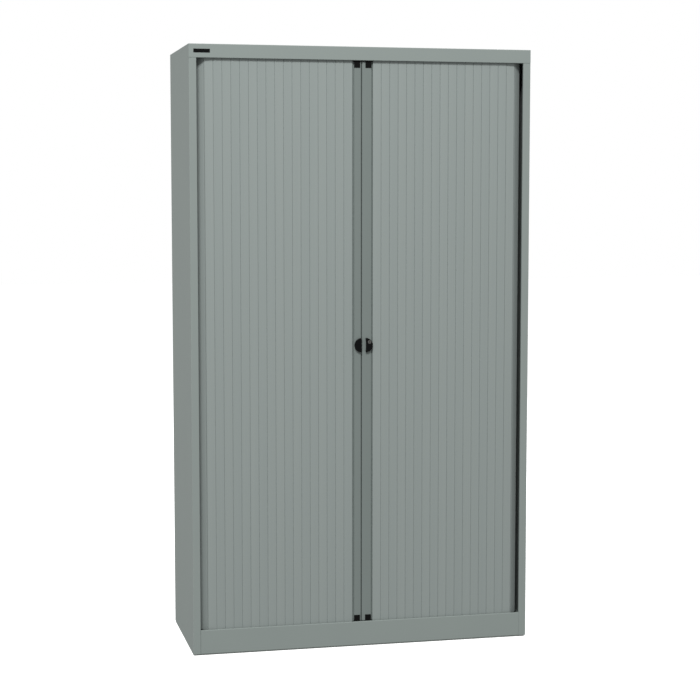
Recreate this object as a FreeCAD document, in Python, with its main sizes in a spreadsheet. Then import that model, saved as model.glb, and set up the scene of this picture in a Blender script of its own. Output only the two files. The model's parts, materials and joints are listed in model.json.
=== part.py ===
import FreeCAD, Part
import math
import os
import re
import Sketcher

# Tall steel office cupboard with two vertical tambour shutters. They meet at the middle of the
# front, slide apart, turn the corners and run back between the outer sides and the inner walls.
# Millimetres. The origin is on the floor under the middle of the cupboard, +Z is up and the
# shutters face -Y. What is left of the middle has negative X.

# Driving sizes, grouped by the piece that carries them
SIZES = {
    # carcass sheet metal
    "width": 1140,
    "depth": 470,
    "height": 1980,
    "skin": 1.2,
    "rail_height": 44,
    "rail_lip": 6,
    "flange_width": 24.5,
    "flange_lip": 8,
    "rear_flange": 20,
    "top_turn": 20,
    "floor_gap": 4,
    "plinth_height": 83,
    "plinth_return": 16,
    "base_rail_depth": 37,
    "base_rail_width": 60,
    "brace_width": 80,
    "brace_depth": 16,
    # running path of the shutters
    "front_setback": 13,
    "side_setback": 26.5,
    "rear_setback": 13,
    "corner_radius": 40,
    "track_height": 14,
    "track_drop": 2,
    "track_wall": 2,
    "corner_relief": 2.6,
    "corner_wing": 25,
    "rear_run": 125.5,
    "stop_length": 12,
    # shutter slats
    "slat_pitch": 28.5,
    "slat_thickness": 8,
    "slat_play": 0.5,
    "joint_gap": 0.3,
    "joint_angle": 49,
    "slat_bevel": 0.9,
    "top_gap": 2,
    "slats_per_shutter": 21,
    # lead stiles, their shoes and the strip between them
    "left_stile_width": 29,
    "right_stile_width": 36,
    "stile_thickness": 18,
    "stile_wall": 1.5,
    "stile_proud": 1,
    "stile_edge": 2.2,
    "groove_depth": 6,
    "seam_offset": 4,
    "seam_gap": 2,
    "strip_thickness": 1.4,
    "strip_depth": 12,
    "shoe_cap": 2.5,
    "shoe_plug": 30,
    "shoe_face_height": 20,
    "shoe_face_width": 20,
    "shoe_face_thickness": 1.5,
    # finger pulls, each half a disc
    "pull_radius": 23.5,
    "pull_height": 1008.5,
    "pull_inset": 12.5,
    "pull_fillet": 2,
    "grip_depth": 5,
    "grip_height": 30,
    "grip_lip": 3,
    "pull_screw_bite": 4,
    "pull_screw_inset": 7.5,
    "pull_screw_rise": 12,
    # lock
    "lock_inset": 12,
    "lock_rise": 10.5,
    "case_radius": 6,
    "case_tail": 1,
    "barrel_radius": 4.6,
    "barrel_gap": 0.06,
    "spigot_radius": 3,
    "keyway_width": 1.2,
    "keyway_height": 6,
    "keyway_depth": 3,
    "ring_nut_radius": 9,
    "ring_nut_thickness": 3,
    "hook_reach": 50,
    "hook_width": 8,
    "hook_thickness": 2,
    "hook_barb": 7,
    "hook_barb_width": 4,
    "hook_nut_radius": 5.5,
    "hook_nut_thickness": 3,
    "keeper_width": 10,
    "keeper_height": 30,
    "keeper_thickness": 1.5,
    "keeper_pin_radius": 2,
    "keeper_pin_reach": 8,
    "keeper_play": 0.8,
    # inner walls and floor
    "liner_gap": 0.5,
    "post_setback": 4,
    "post_width": 20,
    "post_lip": 10,
    "slot_width": 3,
    "slot_height": 14,
    "slot_pitch": 32,
    "slot_margin": 60,
    "slot_inset": 40,
    "apron_depth": 26,
    # shelves and the clips that carry them
    "shelf_count": 4,
    "shelf_edge": 25,
    "shelf_return": 12,
    "shelf_gap": 1.7,
    "clip_plate": 1.4,
    "clip_width": 18,
    "clip_rise": 22,
    "clip_ledge": 9,
    "clip_tongue_width": 2.4,
    "clip_tongue_height": 10,
    "clip_hook": 2,
    # levelling feet and their nuts
    "foot_radius": 22,
    "foot_height": 8,
    "foot_neck_radius": 9,
    "foot_neck_height": 6,
    "stem_radius": 5,
    "stem_top": 50,
    "foot_inset": 45,
    "nut_radius": 9.5,
    "nut_thickness": 8,
    # plain plate on the rail
    "plate_width": 53,
    "plate_height": 12,
    "plate_thickness": 0.6,
    "plate_inset": 15,
    "plate_drop": 16,
    # screws
    "screw_radius": 2,
    "screw_head_radius": 4,
    "screw_head": 1.8,
    "screw_length": 6,
    "screws_per_edge": 5,
    # room round every screw, stem and spigot, and where one piece stands clear of the next
    "hole_gap": 0.1,
    "fit_gap": 0.3,
    # length by which a cutting shape passes the faces it opens
    "overrun": 1,
}

# Distances from the middle, and levels above the floor, that several pieces share
PLACES = {
    "half_width": "width / 2",
    "half_depth": "depth / 2",
    "side_inner": "width / 2 - skin",
    "face_inner": "depth / 2 - skin",
    "back_inner": "depth / 2 - 2 * skin",
    "flange_edge": "width / 2 - flange_width",
    "lip_end": "depth / 2 - flange_lip",
    "top_inner": "height - skin",
    "rail_bottom": "height - rail_height",
    "head_level": "rail_bottom + track_height",
    "base_level": "plinth_height - track_drop - track_height",
    "track_front": "depth / 2 - front_setback",
    "track_side": "width / 2 - side_setback",
    "track_rear": "depth / 2 - rear_setback",
    "bend_side": "track_side - corner_radius",
    "bend_front": "track_front - corner_radius",
    "bend_rear": "track_rear - corner_radius",
    "slat_half": "slat_thickness / 2",
    "slat_room": "slat_half + slat_play",
    "corner_room": "slat_room + corner_relief",
    "slat_bottom": "base_level + track_wall + fit_gap",
    "slat_top": "head_level - track_wall - top_gap",
    "stile_face": "track_front + slat_half + stile_proud",
    "stile_rear": "stile_face - stile_thickness",
    "stile_bottom": "plinth_height - track_drop + slat_play + shoe_cap",
    "stile_top": "rail_bottom - slat_play - shoe_cap",
    "left_near": "seam_offset + seam_gap / 2",
    "left_far": "left_near + left_stile_width",
    "left_groove": "left_far - stile_edge - slat_half + stile_wall",
    "right_near": "seam_gap / 2 - seam_offset",
    "right_far": "right_near + right_stile_width",
    "right_groove": "right_far - stile_edge - slat_half + stile_wall",
    "liner_outer": "track_side - corner_room - track_wall - liner_gap",
    "liner_inner": "liner_outer - skin",
    "liner_rear": "bend_rear",
    "liner_front": "bend_front - post_setback",
    "pull_face": "right_near + pull_inset",
    "lock_side": "pull_face + lock_inset",
    "lock_level": "pull_height + lock_rise",
    "case_end": "stile_rear - ring_nut_thickness - case_tail",
    "hook_front": "case_end - fit_gap",
    "hook_rear": "hook_front - hook_thickness",
    "pin_side": "hook_reach - hook_barb_width - keeper_play - keeper_pin_radius - lock_side",
    "pin_level": "lock_level + hook_width / 2 + keeper_play + keeper_pin_radius",
    "foot_side": "width / 2 - foot_inset",
    "foot_along": "depth / 2 - foot_inset",
    "base_rail_top": "base_level - skin",
    "base_rail_bottom": "base_rail_top - base_rail_depth",
    "shelf_side": "liner_inner - shelf_gap",
    "shelf_front": "liner_front - post_lip - shelf_gap",
    "shelf_rear": "liner_rear - skin - shelf_gap",
}

doc = FreeCAD.newDocument("TambourCupboard")
sizes = doc.addObject("Spreadsheet::Sheet", "Sizes")
places = doc.addObject("Spreadsheet::Sheet", "Places")


def bound(text):
    """The expression with each name pointed at the sheet that holds it."""
    def cell(match):
        word = match.group(0)
        if word in SIZES:
            return "Sizes." + word
        if word in PLACES:
            return "Places." + word
        return word
    return re.sub(r"[a-z][a-z_]*", cell, text)


for row, (alias, value) in enumerate(SIZES.items(), start=1):
    sizes.set(f"A{row}", alias)
    sizes.set(f"B{row}", str(value))
    sizes.setAlias(f"B{row}", alias)
for row, (alias, text) in enumerate(PLACES.items(), start=1):
    places.set(f"A{row}", alias)
    places.set(f"B{row}", "=" + bound(text))
    places.setAlias(f"B{row}", alias)
doc.recompute()


def number(text):
    """The present value of an expression."""
    return float(places.evalExpression(bound(text)))


# Shapes that follow the sheets

TURNS = {
    "x": FreeCAD.Rotation(FreeCAD.Vector(0, 1, 0), 90),
    "y": FreeCAD.Rotation(FreeCAD.Vector(1, 0, 0), -90),
    "z": FreeCAD.Rotation(),
}


def box(name, across, along, up):
    """A box between two expressions on each of X, Y and Z."""
    solid = doc.addObject("Part::Box", name)
    spans = (("Length", "x", across), ("Width", "y", along), ("Height", "z", up))
    for side, axis, (low, high) in spans:
        solid.setExpression(side, bound(f"({high}) - ({low})"))
        solid.setExpression("Placement.Base." + axis, bound(low))
    return solid


def stand(solid, axis, at, span):
    """Sets a round piece along an axis, through a point of the other two, over a span."""
    start = dict(zip([letter for letter in "xyz" if letter != axis], at))
    start[axis], end = span
    solid.Placement.Rotation = TURNS[axis]
    solid.setExpression("Height", bound(f"({end}) - ({start[axis]})"))
    for letter, text in start.items():
        solid.setExpression("Placement.Base." + letter, bound(text))
    return solid


def cylinder(name, axis, at, span, radius):
    """A cylinder along X, Y or Z."""
    solid = doc.addObject("Part::Cylinder", name)
    solid.setExpression("Radius", bound(radius))
    return stand(solid, axis, at, span)


def hexagon(name, axis, at, span, radius):
    """A hexagonal bar along X, Y or Z, measured over its corners."""
    solid = doc.addObject("Part::Prism", name)
    solid.Polygon = 6
    solid.setExpression("Circumradius", bound(radius))
    return stand(solid, axis, at, span)


def joined(name, *solids):
    """One solid out of several that share faces or space."""
    whole = doc.addObject("Part::MultiFuse", name)
    whole.Shapes = list(solids)
    whole.Refine = True
    return whole


def group(name, *solids):
    """Separate solids kept as one piece."""
    whole = doc.addObject("Part::Compound", name)
    whole.Links = list(solids)
    return whole


def cut(name, solid, *tools):
    """What is left of a solid once the tools are taken out of it."""
    rest = doc.addObject("Part::Cut", name)
    rest.Base = solid
    rest.Tool = tools[0] if len(tools) == 1 else group(name + "_tools", *tools)
    return rest


def mirrored(name, solid):
    """The same piece on the other side of the cupboard."""
    other = doc.addObject("Part::Mirroring", name)
    other.Source = solid
    other.Normal = FreeCAD.Vector(1, 0, 0)
    return other


def outward(side, near, far):
    """The span on X between two distances from the middle, on one side."""
    return (f"-({far})", f"-({near})") if side == "left" else (near, far)


def origin_item(body, role):
    """One of a body's own origin planes or axes."""
    return next(item for item in body.Origin.OriginFeatures if item.Role == role)


def new_sketch(body, name, plane):
    """A sketch on one of the body's origin planes."""
    sketch = body.newObject("Sketcher::SketchObject", name)
    sketch.AttachmentSupport = [(origin_item(body, plane), "")]
    sketch.MapMode = "FlatFace"
    return sketch


def outline(sketch, corners):
    """A closed outline through corners given as pairs of expressions."""
    spots = [FreeCAD.Vector(number(x), number(y), 0) for x, y in corners]
    first = sketch.GeometryCount
    for start, end in zip(spots, spots[1:] + spots[:1]):
        sketch.addGeometry(Part.LineSegment(start, end), False)
    for step, ((x, y), spot) in enumerate(zip(corners, spots)):
        line = first + step
        following = first + (step + 1) % len(corners)
        sketch.addConstraint(Sketcher.Constraint("Coincident", line, 2, following, 1))
        for kind, text, value in (("DistanceX", x, spot.x), ("DistanceY", y, spot.y)):
            index = sketch.addConstraint(Sketcher.Constraint(kind, -1, 1, line, 1, value))
            sketch.setExpression(f"Constraints[{index}]", bound(text))


def raised(body, sketch, name, length):
    """The sketch raised along its normal."""
    feature = body.newObject("PartDesign::Pad", name)
    feature.Profile = sketch
    feature.setExpression("Length", bound(length))
    return feature


def profile(name, corners, low, high):
    """A bent sheet or bar: its outline in plan, raised between two levels."""
    body = doc.addObject("PartDesign::Body", name)
    sketch = new_sketch(body, name + "_plan", "XY_Plane")
    outline(sketch, corners)
    raised(body, sketch, name + "_pad", f"({high}) - ({low})")
    body.setExpression("Placement.Base.z", bound(low))
    return body


# Side panels: outer skin, front flange with its lip, and rear flange

side_sheet = profile(
    "side_sheet",
    [
        ("-half_width", "-half_depth"),
        ("-flange_edge", "-half_depth"),
        ("-flange_edge", "-lip_end"),
        ("-flange_edge - skin", "-lip_end"),
        ("-flange_edge - skin", "-face_inner"),
        ("-side_inner", "-face_inner"),
        ("-side_inner", "face_inner"),
        ("rear_flange - half_width", "face_inner"),
        ("rear_flange - half_width", "half_depth"),
        ("-half_width", "half_depth"),
    ],
    "floor_gap",
    "top_inner",
)
# the front flange ends under the top rail, which runs across both sides
side_panel_left = cut(
    "side_panel_left",
    side_sheet,
    box(
        "rail_lip_room",
        ("-side_inner", "overrun - flange_edge"),
        ("-half_depth - overrun", "overrun - lip_end"),
        ("rail_bottom", "height"),
    ),
    box(
        "rail_face_room",
        ("-half_width - overrun", "-side_inner"),
        ("-half_depth - overrun", "-face_inner"),
        ("rail_bottom", "height"),
    ),
)
side_panel_right = mirrored("side_panel_right", side_panel_left)


# Screws along the top and bottom edge of the back, and the holes for them

TOP_EDGE_SCREWS = "top_inner - top_turn / 2"
BASE_EDGE_SCREWS = "base_rail_top - top_turn / 2"


def along_edges():
    """Where the screws stand: evenly across the back, in two rows."""
    count = int(number("screws_per_edge"))
    for step in range(count):
        for edge, level in (("top", TOP_EDGE_SCREWS), ("base", BASE_EDGE_SCREWS)):
            yield f"{edge}_{step}", (f"side_inner * ({2 * step + 1 - count}) / {count}", level)


def pan_screw(name, at, seat, bite):
    """A screw along Y with its head behind a face at seat, biting bite deep."""
    return joined(
        name,
        cylinder(name + "_shank", "y", at, (f"{seat} - ({bite})", seat), "screw_radius"),
        cylinder(name + "_head", "y", at, (seat, f"{seat} + screw_head"), "screw_head_radius"),
    )


HOLE_SPAN = ("face_inner - 2 * screw_length", "half_depth")
back_screw_holes = group(
    "back_screw_holes",
    *[
        cylinder(f"hole_{name}", "y", at, HOLE_SPAN, "screw_radius + hole_gap")
        for name, at in along_edges()
    ],
)
back_screws = group(
    "back_screws",
    *[pan_screw(f"screw_{name}", at, "face_inner", "screw_length") for name, at in along_edges()],
)

# Top panel: the skin, the top rail with its lip, and edges turned down inside the sides and back

FULL_WIDTH = ("-half_width", "half_width")
CLEAR_WIDTH = ("-side_inner", "side_inner")
EDGE_TURN = ("top_inner - top_turn", "top_inner")
top_sheet = joined(
    "top_sheet",
    box("top_skin", FULL_WIDTH, ("-half_depth", "half_depth"), ("top_inner", "height")),
    box("rail_face", FULL_WIDTH, ("-half_depth", "-face_inner"), ("rail_bottom", "top_inner")),
    box(
        "rail_lip_turn",
        CLEAR_WIDTH,
        ("-face_inner", "rail_lip - half_depth"),
        ("rail_bottom", "rail_bottom + skin"),
    ),
    box("top_turn_left", ("-side_inner", "skin - side_inner"), ("-face_inner", "back_inner"), EDGE_TURN),
    box("top_turn_right", ("side_inner - skin", "side_inner"), ("-face_inner", "back_inner"), EDGE_TURN),
    box("top_turn_rear", CLEAR_WIDTH, ("back_inner - skin", "back_inner"), EDGE_TURN),
)
top_panel = cut("top_panel", top_sheet, back_screw_holes)

# Head panel under it, which closes the inside and carries the top tracks

HEAD_TURN = ("head_level", "top_inner - top_turn")
head_panel = joined(
    "head_panel",
    box("head_sheet", CLEAR_WIDTH, ("-face_inner", "back_inner"), ("head_level", "head_level + skin")),
    box("head_turn_front", CLEAR_WIDTH, ("-face_inner", "skin - face_inner"), HEAD_TURN),
    box("head_turn_rear", CLEAR_WIDTH, ("back_inner - skin", "back_inner"), HEAD_TURN),
)

# Back panel, let in behind the rear flanges

back_sheet = box("back_sheet", CLEAR_WIDTH, ("back_inner", "face_inner"), ("floor_gap", "top_inner"))
back_panel = cut("back_panel", back_sheet, back_screw_holes)

# Base panel, which carries the bottom tracks and is notched round the lips of the side flanges

FRONT_WIDTH = ("-flange_edge", "flange_edge")
BASE_TURN = ("base_rail_top - top_turn", "base_rail_top")
base_sheet = joined(
    "base_sheet",
    box("base_skin", CLEAR_WIDTH, ("-face_inner", "back_inner"), ("base_rail_top", "base_level")),
    box("base_turn_front", FRONT_WIDTH, ("-face_inner", "skin - face_inner"), BASE_TURN),
    box("base_turn_rear", CLEAR_WIDTH, ("back_inner - skin", "back_inner"), BASE_TURN),
)
lip_notches = [
    box(
        "lip_notch_" + side,
        outward(side, "flange_edge", "side_inner + overrun"),
        ("-half_depth", "-lip_end"),
        ("base_rail_bottom", "base_level + overrun"),
    )
    for side in ("left", "right")
]
base_panel = cut("base_panel", base_sheet, *lip_notches, back_screw_holes)

# Plinth, the bottom rail between the side flanges

plinth = joined(
    "plinth",
    box("plinth_face", FRONT_WIDTH, ("-half_depth", "-face_inner"), ("floor_gap", "plinth_height")),
    box(
        "plinth_lip",
        FRONT_WIDTH,
        ("-face_inner", "rail_lip - half_depth"),
        ("plinth_height - skin", "plinth_height"),
    ),
    box(
        "plinth_foot",
        FRONT_WIDTH,
        ("-face_inner", "plinth_return - half_depth"),
        ("floor_gap", "floor_gap + skin"),
    ),
)

# Levelling feet with their nuts, and the channel rails that they screw into

CORNERS = [(side, end) for side in ("left", "right") for end in ("front", "rear")]


def foot_spot(side, end):
    """Where a foot stands, in plan."""
    across = "-foot_side" if side == "left" else "foot_side"
    along = "-foot_along" if end == "front" else "foot_along"
    return across, along


def stem_hole(name, spot, low, high):
    """Room for a stem between two levels."""
    return cylinder(name, "z", spot, (low, high), "stem_radius + hole_gap")


feet = []
nuts = []
for side, end in CORNERS:
    name = f"levelling_foot_{end}_{side}"
    spot = foot_spot(side, end)
    feet.append(
        joined(
            name,
            cylinder(name + "_disc", "z", spot, ("0", "foot_height"), "foot_radius"),
            cylinder(name + "_neck", "z", spot, ("0", "foot_height + foot_neck_height"), "foot_neck_radius"),
            cylinder(name + "_stem", "z", spot, ("0", "stem_top"), "stem_radius"),
        )
    )
    seats = {
        "weld": ("base_rail_bottom + skin", "base_rail_bottom + skin + nut_thickness"),
        "lock": ("base_rail_bottom - nut_thickness", "base_rail_bottom"),
    }
    for kind, (low, high) in seats.items():
        label = f"{kind}_nut_{end}_{side}"
        bar = hexagon(label + "_bar", "z", spot, (low, high), "nut_radius")
        hole = stem_hole(label + "_hole", spot, f"{low} - overrun", f"{high} + overrun")
        nuts.append(cut(label, bar, hole))
foot_nuts = group("foot_nuts", *nuts)

RAIL_ALONG = ("-lip_end", "back_inner - skin")
RAIL_ACROSS = ("-side_inner", "base_rail_width - side_inner")
RAIL_HOLE_UP = ("base_rail_bottom - overrun", "base_rail_bottom + 2 * skin")
base_rail_left = cut(
    "base_rail_left",
    joined(
        "base_rail_channel",
        box(
            "base_rail_web",
            ("-side_inner", "skin - side_inner"),
            RAIL_ALONG,
            ("base_rail_bottom", "base_rail_top"),
        ),
        box("base_rail_head", RAIL_ACROSS, RAIL_ALONG, ("base_rail_top - skin", "base_rail_top")),
        box("base_rail_foot", RAIL_ACROSS, RAIL_ALONG, ("base_rail_bottom", "base_rail_bottom + skin")),
    ),
    *[stem_hole("base_rail_hole_" + end, foot_spot("left", end), *RAIL_HOLE_UP) for end in ("front", "rear")],
)
base_rail_right = mirrored("base_rail_right", base_rail_left)

BRACE_ALONG = ("skin - face_inner", "back_inner - skin")
BRACE_UP = ("base_rail_top - brace_depth", "base_rail_top")
centre_brace = joined(
    "centre_brace",
    box(
        "brace_head",
        ("-brace_width / 2", "brace_width / 2"),
        BRACE_ALONG,
        ("base_rail_top - skin", "base_rail_top"),
    ),
    box("brace_wall_left", ("-brace_width / 2", "skin - brace_width / 2"), BRACE_ALONG, BRACE_UP),
    box("brace_wall_right", ("brace_width / 2 - skin", "brace_width / 2"), BRACE_ALONG, BRACE_UP),
)

# Inner side walls: front post with its lip, and two columns of slots for the shelf clips

liner_sheet = profile(
    "liner_sheet",
    [
        ("-liner_outer", "-liner_front"),
        ("post_width - liner_outer", "-liner_front"),
        ("post_width - liner_outer", "post_lip - liner_front"),
        ("post_width - liner_outer - skin", "post_lip - liner_front"),
        ("post_width - liner_outer - skin", "skin - liner_front"),
        ("-liner_inner", "skin - liner_front"),
        ("-liner_inner", "liner_rear"),
        ("-liner_outer", "liner_rear"),
    ],
    "base_level",
    "head_level",
)
doc.recompute()
SLOT_COLUMNS = ("slot_inset - liner_front", "liner_rear - slot_inset")
slot_sketch = new_sketch(liner_sheet, "slot_outline", "YZ_Plane")
for column in SLOT_COLUMNS:
    before = f"{column} - slot_width / 2"
    behind = f"{column} + slot_width / 2"
    foot = "slot_margin - slot_height / 2"
    head = "slot_margin + slot_height / 2"
    outline(slot_sketch, [(before, foot), (behind, foot), (behind, head), (before, head)])
slots = liner_sheet.newObject("PartDesign::Pocket", "slots")
slots.Profile = slot_sketch
slots.Type = "ThroughAll"
slots.SideType = "Symmetric"
slot_rows = int(number("(head_level - base_level - 2 * slot_margin) / slot_pitch")) + 1
slot_pattern = liner_sheet.newObject("PartDesign::LinearPattern", "slot_pattern")
slot_pattern.Originals = [slots]
slot_pattern.Direction = (origin_item(liner_sheet, "Z_Axis"), [""])
slot_pattern.Mode = "Spacing"
slot_pattern.setExpression("Offset", bound("slot_pitch"))
slot_pattern.Occurrences = slot_rows
liner_sheet.Tip = slot_pattern
# the post stands on the floor of the cupboard, the wall behind it goes down to the base panel
liner_left = cut(
    "liner_left",
    liner_sheet,
    box(
        "post_room",
        ("-liner_inner", "post_width + overrun - liner_outer"),
        ("-liner_front - overrun", "post_lip + overrun - liner_front"),
        ("base_level - overrun", "plinth_height + fit_gap"),
    ),
)
liner_right = mirrored("liner_right", liner_left)
INNER_WIDTH = ("-liner_inner", "liner_inner")
liner_back = box("liner_back", INNER_WIDTH, ("liner_rear - skin", "liner_rear"), ("base_level", "head_level"))

# Floor of the cupboard: an upturned tray that reaches forward to the stiles between the corners

FLOOR_REAR = "liner_rear - skin"
APRON_FRONT = "-liner_front - apron_depth"
TRAY_UP = ("base_level", "plinth_height")
HOLLOW_UP = ("base_level - overrun", "plinth_height - skin")
floor_tray = cut(
    "floor_tray",
    joined(
        "floor_block",
        box("floor_main", INNER_WIDTH, ("-liner_front", FLOOR_REAR), TRAY_UP),
        box("floor_apron", ("-bend_side", "bend_side"), (APRON_FRONT, "-liner_front"), TRAY_UP),
    ),
    joined(
        "floor_hollow",
        box(
            "floor_main_hollow",
            ("skin - liner_inner", "liner_inner - skin"),
            ("skin - liner_front", f"{FLOOR_REAR} - skin"),
            HOLLOW_UP,
        ),
        box(
            "floor_apron_hollow",
            ("skin - bend_side", "bend_side - skin"),
            (f"{APRON_FRONT} + skin", "2 * skin - liner_front"),
            HOLLOW_UP,
        ),
    ),
)

# Shelves, each folded down and back in on all four edges, and the clips under their corners


def clip_level(shelf):
    """The level of the slot that a shelf hangs in: the nearest one to an even share of the height."""
    share = shelf / (number("shelf_count") + 1)
    nearest = round(share * (slot_rows - 1))
    return f"base_level + slot_margin + {nearest} * slot_pitch"


def shelf_piece(shelf):
    """One shelf, standing on the ledges of its clips."""
    name = f"shelf_{shelf}"
    low = f"{clip_level(shelf)} - clip_rise / 2 + clip_plate"
    across = ("-shelf_side", "shelf_side")
    return cut(
        name,
        box(name + "_block", across, ("-shelf_front", "shelf_rear"), (low, f"{low} + shelf_edge")),
        joined(
            name + "_hollow",
            box(
                name + "_inside",
                ("skin - shelf_side", "shelf_side - skin"),
                ("skin - shelf_front", "shelf_rear - skin"),
                (f"{low} + skin", f"{low} + shelf_edge - skin"),
            ),
            box(
                name + "_underside",
                ("shelf_return - shelf_side", "shelf_side - shelf_return"),
                ("shelf_return - shelf_front", "shelf_rear - shelf_return"),
                (f"{low} - overrun", f"{low} + 2 * skin"),
            ),
        ),
    )


def clip(name, side, column, level):
    """A shelf clip: plate on the wall, ledge below, and a tongue through the slot."""
    beside = (f"{column} - clip_width / 2", f"{column} + clip_width / 2")
    foot = f"{level} - clip_rise / 2"
    return joined(
        name,
        box(name + "_plate", outward(side, "liner_inner - clip_plate", "liner_inner"), beside,
            (foot, f"{foot} + clip_rise")),
        box(name + "_ledge", outward(side, "liner_inner - clip_ledge", "liner_inner"), beside,
            (foot, f"{foot} + clip_plate")),
        box(name + "_tongue", outward(side, "liner_inner", "liner_outer + clip_hook"),
            (f"{column} - clip_tongue_width / 2", f"{column} + clip_tongue_width / 2"),
            (f"{level} - clip_tongue_height / 2", f"{level} + clip_tongue_height / 2")),
    )


shelf_numbers = range(1, int(number("shelf_count")) + 1)
shelves = [shelf_piece(shelf) for shelf in shelf_numbers]
shelf_clips = group(
    "shelf_clips",
    *[
        clip(f"clip_{shelf}_{side}_{place}", side, column, clip_level(shelf))
        for shelf in shelf_numbers
        for side in ("left", "right")
        for place, column in enumerate(SLOT_COLUMNS)
    ],
)

# Running tracks: plastic channels round the front, the corners, the sides and part of the back.
# Rigid slats cut across a bend, so the channel is wider on the inside from the corner onwards.

TRACK_LEVELS = {
    # end: levels of the channel, then of the slot in it
    "top": (("rail_bottom", "head_level"), ("rail_bottom - overrun", "head_level - track_wall")),
    "bottom": (
        ("base_level", "base_level + track_height"),
        ("base_level + track_wall", "base_level + track_height + overrun"),
    ),
}


def quarter(name, centre, turn, outer, inner, levels):
    """The quarter ring of a corner between two offsets from the running path."""
    rounds = []
    for which, radius in (("outer", f"corner_radius + {outer}"), ("inner", f"corner_radius - ({inner})")):
        disc = cylinder(f"{name}_{which}", "z", centre, levels, radius)
        disc.Angle = 90
        disc.Placement.Rotation = FreeCAD.Rotation(FreeCAD.Vector(0, 0, 1), turn)
        rounds.append(disc)
    return cut(name, *rounds)


def front_corner(name, outer, inner, levels, extra):
    """The path round a front corner, with a straight wing at each end."""
    return joined(
        name,
        box(name + "_front", ("-bend_side", f"corner_wing + {extra} - bend_side"),
            (f"-track_front - ({outer})", f"{inner} - track_front"), levels),
        quarter(name + "_bend", ("-bend_side", "-bend_front"), 180, outer, inner, levels),
        box(name + "_side", (f"-track_side - ({outer})", f"{inner} - track_side"),
            ("-bend_front", f"corner_wing + {extra} - bend_front"), levels),
    )


def side_path(name, outer, inner, levels, extra):
    """The path along a side, round the rear corner and in behind the back wall."""
    return joined(
        name,
        box(name + "_side", (f"-track_side - ({outer})", f"{inner} - track_side"),
            (f"corner_wing - {extra} - bend_front", "bend_rear"), levels),
        quarter(name + "_bend", ("-bend_side", "bend_rear"), 90, outer, inner, levels),
        box(name + "_rear", ("-bend_side", f"rear_run + {extra} - bend_side"),
            (f"track_rear - ({inner})", f"track_rear + {outer}"), levels),
    )


def channel(name, path, channel_levels, slot_levels):
    """A channel that follows a path, slot side open."""
    return cut(
        name,
        path(name + "_block", "slat_room + track_wall", "corner_room + track_wall", channel_levels, "0"),
        path(name + "_slot", "slat_room", "corner_room", slot_levels, "overrun"),
    )


tracks = []
stops = []
for end, (channel_levels, slot_levels) in TRACK_LEVELS.items():
    name = "front_track_" + end
    tracks.append(
        cut(
            name,
            box(name + "_block", ("corner_wing - bend_side", "bend_side - corner_wing"),
                ("-track_front - slat_room - track_wall", "slat_room + track_wall - track_front"),
                channel_levels),
            box(name + "_slot", ("corner_wing - bend_side - overrun", "bend_side - corner_wing + overrun"),
                ("-track_front - slat_room", "slat_room - track_front"), slot_levels),
        )
    )
    for kind, path in (("corner_guide", front_corner), ("side_track", side_path)):
        left = channel(f"{kind}_{end}_left", path, channel_levels, slot_levels)
        tracks += [left, mirrored(f"{kind}_{end}_right", left)]
    # soft block at the far end of the channel, where the last slat comes to rest
    levels = (channel_levels[0], slot_levels[1]) if end == "top" else (slot_levels[0], channel_levels[1])
    block = box("stop_" + end, ("rear_run - stop_length - bend_side", "rear_run - bend_side"),
                ("track_rear - corner_room", "track_rear + slat_room"), levels)
    stops += [block, mirrored(f"stop_{end}_right", block)]
track_stops = group("track_stops", *stops)

# Lead stiles: tubes with a bead on the outer edge for the first slat, behind a groove down the face


def stile_tube(side):
    """The stile of one shutter, before the lock and the screws go through it."""
    name = f"stile_{side}_tube"
    near, far = f"{side}_near", f"{side}_far"
    levels = ("stile_bottom", "stile_top")
    bead = f"{far} - stile_edge"
    sign = "-" if side == "left" else ""
    return cut(
        name,
        joined(
            name + "_bar",
            box(name + "_block", outward(side, near, far), ("-stile_face", "-stile_rear"), levels),
            cylinder(name + "_bead", "z", (f"{sign}({bead})", "-track_front"), levels, "slat_half"),
        ),
        box(
            name + "_hollow",
            outward(side, f"{near} + stile_wall", f"{bead} - slat_half"),
            ("stile_wall - stile_face", "-stile_rear - stile_wall"),
            ("stile_bottom - overrun", "stile_top + overrun"),
        ),
        box(
            name + "_groove",
            outward(side, f"{side}_groove", far),
            ("-stile_face - overrun", "groove_depth - stile_face"),
            ("stile_bottom - overrun", "stile_top + overrun"),
        ),
    )


def shoe(side, end):
    """The moulded end of a stile: cap, plug, tongue in the track and a tab on the face."""
    name = f"shoe_{side}_{end}"
    near, far = f"{side}_near", f"{side}_far"
    if end == "top":
        cap = ("stile_top", "stile_top + shoe_cap")
        plug = ("stile_top - shoe_plug", "stile_top")
        tongue = ("stile_top + shoe_cap", "slat_top")
        tab = ("stile_top - shoe_face_height", "stile_top + shoe_cap")
    else:
        cap = ("stile_bottom - shoe_cap", "stile_bottom")
        plug = ("stile_bottom", "stile_bottom + shoe_plug")
        tongue = ("slat_bottom", "stile_bottom - shoe_cap")
        tab = ("stile_bottom - shoe_cap", "stile_bottom + shoe_face_height")
    return joined(
        name,
        box(name + "_cap", outward(side, near, far), ("-stile_face", "-stile_rear"), cap),
        box(name + "_plug", outward(side, f"{near} + stile_wall", f"{far} - stile_edge - slat_half"),
            ("stile_wall - stile_face", "-stile_rear - stile_wall"), plug),
        box(name + "_tongue", outward(side, near, far),
            ("-track_front - slat_half", "slat_half - track_front"), tongue),
        box(name + "_tab", outward(side, f"{side}_groove - shoe_face_width", f"{side}_groove"),
            ("-stile_face - shoe_face_thickness", "-stile_face"), tab),
    )


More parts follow.
